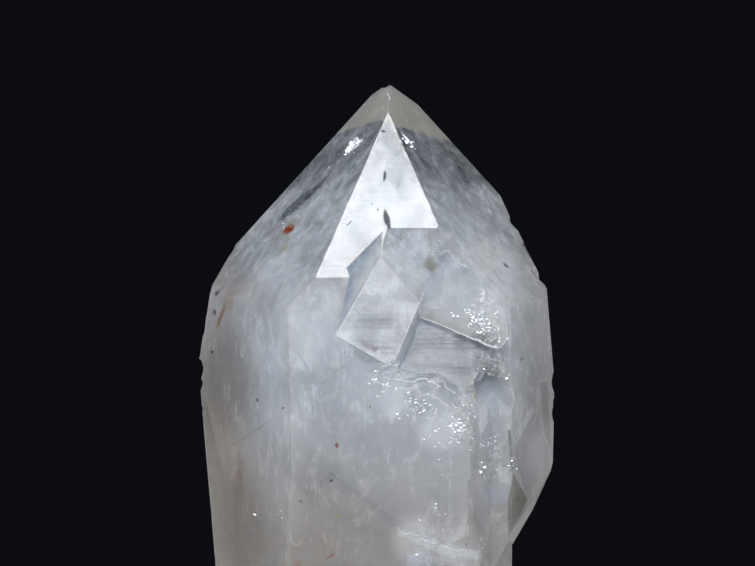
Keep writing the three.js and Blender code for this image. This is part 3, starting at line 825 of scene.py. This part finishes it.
def quartzRelief(tree, shader, layer, clarity):
    # Each flake turned its own way, pits where the bright end face is stained, growth lines and grain
    values = {"Vector": stretched(tree, layer["place"], (1, 1, 1.3)), "Scale": 0.95, "Randomness": 1.0}
    cell = addNode(tree, "ShaderNodeTexVoronoi", values)
    tilt = vectorNode(tree, "SUBTRACT", cell.outputs["Color"], (0.5, 0.5, 0.5))
    tilt = vectorNode(tree, "SCALE", tilt, times(tree, layer["flakeMask"], 1.5))
    turned = vectorNode(tree, "ADD", addNode(tree, "ShaderNodeNewGeometry").outputs["Normal"], tilt)
    pit = times(tree, layer["stained"], layer["gloss"])
    pit = vectorNode(tree, "SCALE", quartzSettings["pitTurn"], pit)
    turned = vectorNode(tree, "NORMALIZE", vectorNode(tree, "ADD", turned, pit))
    height = plus(tree, times(tree, layer["lines"], 0.55), times(tree, layer["grain"], 0.35))
    height = plus(tree, height, times(tree, layer["mottle"], 0.5))
    height = times(tree, height, rangeNode(tree, clarity, 0.35, 0.8, 1.0, 0.12))
    addBump(tree, shader, height, 0.12, 0.0004, turned)


def quartzMaterial():
    material, tree, shader = newMaterial("quartz")
    layer = quartzLayers(tree)
    clarity = mixColour(tree, layer["aboveLine"], layer["clarity"], quartzSettings["tipClarity"])
    tree.links.new(quartzColour(tree, layer), shader.inputs["Base Color"])
    tree.links.new(quartzThrough(tree, layer, clarity), shader.inputs["Transmission Weight"])
    tree.links.new(quartzRoughness(tree, layer), shader.inputs["Roughness"])
    quartzRelief(tree, shader, layer, clarity)
    shader.inputs["IOR"].default_value = quartzSettings["indexOfRefraction"]
    shader.inputs["Subsurface Weight"].default_value = quartzSettings["inwardShare"]
    shader.inputs["Subsurface Radius"].default_value = quartzSettings["inwardReach"]
    shader.inputs["Subsurface Scale"].default_value = 1.0
    values = {"Color": quartzSettings["absorptionColour"], "Density": quartzSettings["absorptionDensity"]}
    absorption = addNode(tree, "ShaderNodeVolumeAbsorption", values)
    tree.links.new(absorption.outputs[0], tree.nodes["Material Output"].inputs["Volume"])
    return material


quartzPoint = shapeQuartz()
quartzPoint.data.materials.append(quartzMaterial())
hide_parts("crystal")
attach(quartzPoint, "root")
print("quartz ready")


# Splinters: thin plates that lie in the broken patches and flash where they face the softbox

splinterSettings = {
    "inPatches": 1100,
    "scattered": 160,
    "corners": 5,
    "smallest": 0.07,
    "largest": 0.32,
    "stray": 0.35,
    "thickness": 0.05,
    "brightShare": 0.34,
    "groupBrightShare": 0.75,
    "seed": 2204,
    "sunk": 0.03,
    "metallic": 0.3,
    "dull": (0.80, 0.83, 0.88, 1),
    "bright": (0.93, 0.95, 0.98, 1),
}

# groups of larger plates: a place near the surface, how far they stray, how many, and their size in
# millimetres
splinterGroups = [
    ((-4.3, -4.2, 150.4), 0.75, 60, 0.74),
    ((-2.6, -4.8, 151.1), 0.50, 26, 0.62),
    ((-4.0, -3.6, 152.4), 0.35, 14, 0.50),
    ((7.0, -7.9, 151.2), 0.60, 30, 0.60),
    ((5.8, -7.6, 152.4), 0.35, 8, 0.42),
    ((-9.4, -3.0, 146.4), 0.25, 3, 0.30),
    ((-18.7, -6.0, 135.8), 0.5, 4, 0.35),
    ((-15.0, -8.6, 136.4), 0.4, 3, 0.32),
    ((3.4, -24.6, 132.8), 0.35, 3, 0.40),
    ((-23.4, -16.0, 80.2), 0.5, 3, 0.30),
    ((-23.4, -16.0, 77.8), 0.5, 4, 0.36),
    ((-23.6, -16.0, 75.4), 0.4, 3, 0.28),
    ((-17.8, -25.8, 79.9), 0.4, 4, 0.42),
    ((-16.3, -28.6, 91.8), 0.4, 3, 0.26),
    ((2.6, -29.7, 88.4), 0.9, 6, 0.30),
    ((4.6, -29.8, 101.2), 0.9, 12, 0.42),
    ((6.6, -29.8, 99.8), 0.8, 9, 0.36),
    ((11.2, -29.7, 97.4), 0.9, 12, 0.42),
    ((10.6, -29.7, 95.2), 0.6, 7, 0.40),
    ((1.8, -29.6, 105.2), 1.2, 14, 0.44),
    ((22.6, -25.0, 110.2), 1.2, 14, 0.42),
    ((21.8, -25.6, 107.0), 0.9, 9, 0.40),
    ((18.4, -28.0, 93.4), 0.7, 8, 0.42),
    ((9.4, -29.7, 75.8), 1.0, 10, 0.40),
    ((21.5, -26.0, 74.0), 1.0, 8, 0.36),
    ((12.0, -29.7, 82.5), 0.3, 3, 0.34),
    ((12.2, -29.7, 92.4), 0.7, 6, 0.34),
    ((14.1, -29.7, 91.0), 0.6, 5, 0.34),
    ((2.4, -29.4, 107.6), 1.1, 60, 0.52),
    ((0.2, -29.6, 105.4), 0.8, 10, 0.46),
    ((23.6, -23.8, 108.6), 1.6, 26, 0.44),
    ((21.8, -24.6, 117.2), 1.6, 40, 0.60),
    ((18.0, -25.4, 118.6), 1.8, 22, 0.50),
    ((23.0, -24.0, 115.2), 1.2, 22, 0.56),
    ((9.2, -29.7, 102.2), 1.0, 26, 0.50),
    ((16.2, -29.7, 98.2), 1.3, 34, 0.52),
    ((15.0, -29.7, 94.8), 0.5, 12, 0.56),
    ((12.4, -29.7, 94.2), 0.5, 5, 0.36),
    ((11.7, -29.7, 82.2), 0.3, 4, 0.42),
    ((22.7, -26.0, 89.2), 0.6, 10, 0.50),
    ((18.8, -28.0, 95.2), 0.4, 4, 0.36),
]


def plates(centres, normals, sizes, randomness):
    # Each plate is a flat many-sided outline. Its corners lie at jittered angles and distances round the
    # centre, in the plane square to its normal, and the outline is repeated half a thickness up and down.
    count, corners = len(centres), splinterSettings["corners"]
    normals = unitVectors(normals)
    helper = np.where(np.abs(normals[:, 2:3]) < 0.9, (0.0, 0.0, 1.0), (1.0, 0.0, 0.0))
    across = unitVectors(np.cross(normals, helper))
    along = np.cross(normals, across)
    angle = (np.arange(corners) + randomness.uniform(-0.32, 0.32, (count, corners))) * 2 * math.pi / corners
    angle += randomness.uniform(0, 2 * math.pi, (count, 1))
    reach = sizes[:, None] * randomness.uniform(0.45, 1.0, (count, corners))
    narrow = randomness.uniform(0.35, 1.0, (count, 1))
    rim = (centres[:, None] + across[:, None] * (reach * np.cos(angle))[..., None]
           + along[:, None] * (reach * narrow * np.sin(angle))[..., None])
    lift = normals[:, None] * splinterSettings["thickness"] / 2
    points = np.concatenate([rim + lift, rim - lift], axis=1).reshape(-1, 3)
    base = (np.arange(count) * 2 * corners)[:, None]
    here = np.arange(corners)
    near, far = base + here, base + (here + 1) % corners
    bottoms = (base + corners + here[::-1]).tolist()
    sides = np.stack([near, near + corners, far + corners, far], -1).reshape(-1, 4)
    return points, near.tolist() + bottoms + sides.tolist()


def splinterMaterial():
    material, tree, shader = newMaterial("fractureSilver")
    cloudy = noise(tree, millimetres(tree), (1, 1, 1), 2.6, 4, 0.6)
    share = rangeNode(tree, cloudy, 0.35, 0.65)
    colour = mixColour(tree, share, splinterSettings["dull"], splinterSettings["bright"])
    tree.links.new(colour, shader.inputs["Base Color"])
    tree.links.new(rangeNode(tree, cloudy, 0.3, 0.7, 0.08, 0.30), shader.inputs["Roughness"])
    addBump(tree, shader, cloudy, 0.3, 0.0001)
    shader.inputs["Metallic"].default_value = splinterSettings["metallic"]
    return material


def quartzSurface(spots):
    # Each spot moved to the plane of the nearest corner of the quartz, and that corner's normal
    points = readPoints(quartzPoint.data)
    normals = np.empty(len(points) * 3)
    quartzPoint.data.vertices.foreach_get("normal", normals)
    nearest = np.array([np.argmin(((points - spot) ** 2).sum(1)) for spot in spots])
    facing = normals.reshape(-1, 3)[nearest]
    off = ((spots - points[nearest]) * facing).sum(1)
    return spots - facing * off[:, None], facing


def makeSplinters():
    settings = splinterSettings
    randomness = np.random.default_rng(settings["seed"])
    points = readPoints(quartzPoint.data)
    flakes = np.empty(len(points), np.float32)
    quartzPoint.data.attributes["flakes"].data.foreach_get("value", flakes)
    patchy = np.clip(layeredNoise(points, 2.4, 77, 3) + 0.15, 0, 1) * flakes.astype(float) ** 2
    chosen = randomness.choice(len(points), settings["inPatches"], p=patchy / patchy.sum())
    exposed = smoothStep(30, 60, points[:, 2])
    spread = randomness.choice(len(points), settings["scattered"], p=exposed / exposed.sum())
    lone = points[np.concatenate([chosen, spread])]
    spots = [lone + randomness.normal(0, settings["stray"], lone.shape)]
    sizes = [randomness.uniform(settings["smallest"], settings["largest"], len(chosen)),
             randomness.uniform(settings["smallest"], settings["smallest"] * 2, len(spread))]
    for place, stray, number, size in splinterGroups:
        spots.append(np.array(place) + randomness.normal(0, stray, (number, 3)))
        sizes.append(size * randomness.uniform(0.5, 1.0, number))
    places, normals = quartzSurface(np.concatenate(spots))
    facing = normals + randomness.normal(0, 0.45, places.shape)
    grouped = np.arange(len(places)) >= len(lone)
    share = np.where(grouped, settings["groupBrightShare"], settings["brightShare"])
    bright = randomness.random(len(places)) < share
    flash = np.array(frontEndFacing) + randomness.normal(0, 0.05, places.shape)
    facing = np.where(bright[:, None], flash, facing)
    corners, faces = plates(places - normals * settings["sunk"], facing, np.concatenate(sizes), randomness)
    piece = makePiece("fractureSplinters", insideBox(corners, "crystal") * mm, faces)
    piece.data.materials.append(splinterMaterial())
    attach(piece, "root")


makeSplinters()
print("splinters ready")


# Bright lips: thin slivers of fresh surface along broken edges, turned the way that mirrors the softbox

# the path in millimetres, the half width at its start and end, and how much of its length is there
lips = [
    ([(8.7, -27.3, 118.8), (16.0, -27.0, 115.8), (22.0, -26.7, 113.1), (24.4, -26.6, 112.4)],
     (0.06, 0.42), 0.97),
    ([(24.4, -26.6, 112.4), (25.6, -25.0, 113.8), (26.1, -23.6, 116.4)], (0.20, 0.06), 0.7),
    ([(26.1, -23.6, 116.6), (25.2, -22.8, 119.4), (22.6, -22.6, 123.3)], (0.05, 0.03), 0.55),
    ([(-7.1, -29.9, 115.4), (-2.9, -28.4, 122.5), (1.3, -26.9, 129.8)], (0.10, 0.05), 0.85),
    ([(-8.2, -29.7, 116.6), (-4.6, -28.6, 124.0), (-1.0, -27.4, 130.6)], (0.05, 0.03), 0.6),
    ([(3.8, -30.3, 109.3), (6.3, -29.2, 115.4), (8.9, -28.0, 121.2)], (0.05, 0.05), 0.6),
    ([(1.6, -26.8, 130.2), (5.0, -27.4, 126.3), (8.8, -28.0, 121.6)], (0.03, 0.05), 0.5),
    ([(3.6, -30.0, 107.4), (7.0, -30.0, 106.8), (11.4, -29.6, 106.6), (14.2, -29.2, 105.0)],
     (0.10, 0.18), 0.8),
    ([(13.8, -29.3, 106.4), (16.4, -28.6, 104.6), (17.4, -28.2, 102.6)], (0.12, 0.22), 0.85),
    ([(15.2, -28.9, 103.0), (15.4, -28.8, 101.0), (17.6, -27.8, 99.8), (20.6, -26.4, 98.6)],
     (0.08, 0.12), 0.8),
    ([(12.4, -29.6, 101.4), (11.4, -29.7, 99.0), (10.8, -29.8, 96.8)], (0.30, 0.12), 0.6),
    ([(5.4, -29.8, 77.2), (10.2, -29.8, 75.4), (15.0, -29.8, 73.8), (20.0, -29.0, 73.0)],
     (0.20, 0.42), 0.8),
    ([(20.4, -26.4, 92.0), (23.0, -25.6, 93.0)], (0.10, 0.10), 0.7),
    ([(-5.6, -5.0, 150.6), (-4.2, -5.6, 150.4), (-2.6, -5.8, 150.9)], (0.45, 0.30), 0.95),
    ([(-5.2, -4.2, 152.2), (-4.2, -4.4, 151.4), (-3.9, -5.0, 150.5)], (0.20, 0.30), 0.95),
    ([(5.6, -7.0, 152.6), (6.6, -7.8, 151.8), (7.8, -8.2, 151.3)], (0.22, 0.28), 0.9),
    ([(2.8, -0.4, 161.4), (3.2, -1.2, 160.6), (3.4, -2.0, 159.2)], (0.20, 0.10), 0.9),
]

lipSettings = {
    "step": 0.22,
    "thickness": 0.08,
    "wander": 0.10,
    "dull": (0.80, 0.84, 0.90, 1),
    "fresh": (0.98, 0.99, 1.0, 1),
    "thinnest": 0.004,
    "indexOfRefraction": 1.7,
}


def lipMaterial():
    material, tree, shader = newMaterial("freshLip")
    cloudy = noise(tree, millimetres(tree), (1, 1, 1), 1.6, 5, 0.65)
    colour = mixColour(tree, rangeNode(tree, cloudy, 0.35, 0.65), lipSettings["dull"], lipSettings["fresh"])
    tree.links.new(colour, shader.inputs["Base Color"])
    tree.links.new(rangeNode(tree, cloudy, 0.3, 0.7, 0.34, 0.16), shader.inputs["Roughness"])
    addBump(tree, shader, cloudy, 0.4, 0.0001)
    shader.inputs["IOR"].default_value = lipSettings["indexOfRefraction"]
    return material


def threeNoises(points, size, seed, layers):
    # A noise of its own for each of the three directions
    return np.stack([layeredNoise(points, size, seed + axis, layers) for axis in range(3)], -1)


def tubeFaces(rings, corners):
    # Four-cornered faces between rings of corners, and a cap at each end, all turned outwards
    ring, corner = np.meshgrid(np.arange(rings - 1), np.arange(corners), indexing="ij")
    near, far = ring * corners + corner, ring * corners + (corner + 1) % corners
    sides = np.stack([near + corners, far + corners, far, near], -1).reshape(-1, 4)
    start, end = np.arange(corners), np.arange(corners)[::-1] + (rings - 1) * corners
    return np.concatenate([sides, [start, end]])


def lipParts(path, halfWidths, kept, seed):
    # A sliver is a profile carried along a bent path: four corners round each station, where the half
    # width comes from the place along the path, times a noise, and is nothing where it is broken off.
    path = np.array(path)
    lengths = np.concatenate([[0], np.cumsum(np.linalg.norm(np.diff(path, axis=0), axis=1))])
    count = max(4, int(lengths[-1] / lipSettings["step"]))
    along = np.linspace(0, lengths[-1], count)
    centre = np.stack([np.interp(along, lengths, path[:, axis]) for axis in range(3)], -1)
    centre = centre + threeNoises(centre, 1.6, seed, 3) * lipSettings["wander"]
    centre, _ = quartzSurface(centre)
    tangent = unitVectors(np.gradient(centre, axis=0))
    facing = unitVectors(np.array(frontEndFacing) + threeNoises(centre, 2.2, seed + 10, 2) * 0.05)
    across = unitVectors(np.cross(tangent, facing))
    share = along / lengths[-1]
    half = halfWidths[0] + (halfWidths[1] - halfWidths[0]) * share
    ragged = 0.75 + 0.6 * layeredNoise(centre, 0.9, seed + 20, 3)
    there = smoothStep(kept, kept - 0.25, 0.5 + 0.8 * layeredNoise(centre, 1.8, seed + 30, 2))
    ends = smoothStep(0, 0.06, share) * smoothStep(1, 0.94, share)
    half = half * ragged * there * ends + lipSettings["thinnest"]
    lift = facing * lipSettings["thickness"] / 2
    side = across * half[:, None]
    corners = (side + lift, lift - side, -side - lift, side - lift)
    points = np.stack([centre + corner for corner in corners], 1).reshape(-1, 3)
    return points, tubeFaces(count, 4)


def makeLips():
    allPoints, allFaces, base = [], [], 0
    for number, (path, halfWidths, kept) in enumerate(lips):
        points, faces = lipParts(path, halfWidths, kept, 300 + 40 * number)
        allPoints.append(points)
        allFaces.append(faces + base)
        base += len(points)
    points = insideBox(np.concatenate(allPoints), "crystal") * mm
    piece = makePiece("brightLips", points, np.concatenate(allFaces).tolist())
    piece.data.materials.append(lipMaterial())
    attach(piece, "root")


makeLips()
print("lips ready")


# Stand: turned hardwood, stained dark and waxed

standSettings = {
    "segments": 60,
    "faceGrid": 2.4,
    "edgeGrid": 1.2,
    "sharpFrom": 40.0,
    "mostTriangles": 90000,
    "unevenness": 0.08,
    "edgeWear": 0.22,
    "darkWood": (0.020, 0.0095, 0.005, 1),
    "lightWood": (0.085, 0.036, 0.016, 1),
    "poreColour": (0.008, 0.004, 0.0025, 1),
    "rubbedWood": (0.16, 0.078, 0.036, 1),
    "pith": (38, 70, 90),
    "ringsPerMillimetre": 2.6,
    "sharpEdge": 50,
    "wax": 0.25,
    "waxRoughness": 0.18,
}


def shapeStand():
    # The CAD node's own surface. The turned outline is made truly round: a point between two corners of
    # the many-sided outline moves out to the circle through them. Then the wood is worn a little.
    points, triangles = fineSkin("stand", standSettings)
    half = math.pi / standSettings["segments"]
    away = np.mod(np.arctan2(points[:, 0], points[:, 1]), 2 * half) - half
    points[:, :2] *= (np.cos(away) / math.cos(half))[:, None]
    edges, _, turn, outwards = edgeFacts(points, triangles)
    ridge = np.zeros(len(points))
    np.maximum.at(ridge, edges.ravel(), np.repeat(smoothStep(14, 45, turn) * outwards, 2))
    depth = standSettings["unevenness"] * (0.5 + 0.5 * layeredNoise(points, 11.0, 81, 3))
    depth += standSettings["edgeWear"] * ridge * (0.55 + 0.45 * layeredNoise(points, 6.0, 91, 3))
    points = points - pointNormals(points, triangles) * np.clip(depth, 0, 1)[:, None]
    rub = ridge
    for _ in range(2):
        rub = np.maximum(rub * 0.6, neighbourMean(rub, edges, len(points)))
    piece = makePiece("turnedStand", insideBox(points, "stand") * mm, triangles.tolist(), True)
    addValues(piece, "rub", rub)
    piece.data.set_sharp_from_angle(angle=math.radians(standSettings["sharpEdge"]))
    return piece


def standMaterial():
    material, tree, shader = newMaterial("darkWood")
    settings = standSettings
    place = millimetres(tree)
    # growth rings run through the block: distance from a pith line that lies well outside the disc
    waver = noise(tree, place, (0.12, 1, 1), 0.05, 3)
    beside = vectorNode(tree, "MULTIPLY", vectorNode(tree, "ADD", place, settings["pith"]), (0.0, 1.0, 1.0))
    phase = times(tree, vectorNode(tree, "LENGTH", beside), settings["ringsPerMillimetre"])
    rings = mathNode(tree, "SINE", plus(tree, phase, times(tree, waver, 22.0)))
    fibre = noise(tree, place, (0.09, 1.6, 1.6), 0.9, 6, 0.7)
    pores = rangeNode(tree, noise(tree, place, (0.14, 2.4, 2.4), 1.5, 4, 0.6), 0.60, 0.68)
    share = plus(tree, times(tree, rangeNode(tree, rings, -1, 1), 0.45), times(tree, fibre, 0.55))
    colour = mixColour(tree, rangeNode(tree, share, 0.25, 0.8), settings["darkWood"], settings["lightWood"])
    colour = mixColour(tree, times(tree, pores, 0.8), colour, settings["poreColour"])
    rub = times(tree, attribute(tree, "rub"), rangeNode(tree, fibre, 0.4, 0.6, 0.2, 0.8))
    colour = mixColour(tree, rub, colour, settings["rubbedWood"])
    tree.links.new(colour, shader.inputs["Base Color"])
    roughness = plus(tree, rangeNode(tree, fibre, 0.3, 0.7, 0.26, 0.40), times(tree, pores, 0.25))
    tree.links.new(roughness, shader.inputs["Roughness"])
    # turning marks: a noise that knows only the distance from the axis and the height
    radius = vectorNode(tree, "LENGTH", vectorNode(tree, "MULTIPLY", place, (1.0, 1.0, 0.0)))
    rise = addNode(tree, "ShaderNodeSeparateXYZ", {0: place}).outputs[2]
    turned = addNode(tree, "ShaderNodeCombineXYZ", {0: radius, 1: rise}).outputs[0]
    marks = noise(tree, turned, (1, 1, 1), 1.3, 3, 0.6)
    height = minus(tree, times(tree, fibre, 0.4), pores)
    addBump(tree, shader, plus(tree, height, times(tree, marks, 0.8)), 0.35, 0.0003)
    shader.inputs["Coat Weight"].default_value = settings["wax"]
    shader.inputs["Coat Roughness"].default_value = settings["waxRoughness"]
    return material


turnedStand = shapeStand()
turnedStand.data.materials.append(standMaterial())
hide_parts("stand")
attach(turnedStand, "root")
print("stand ready")


# How the picture is made

scene.view_settings.view_transform = "Standard"
scene.cycles.max_bounces = 8
scene.cycles.transmission_bounces = 6
scene.cycles.glossy_bounces = 4
scene.cycles.diffuse_bounces = 3
scene.cycles.adaptive_threshold = 0.03
scene.cycles.use_denoising = True
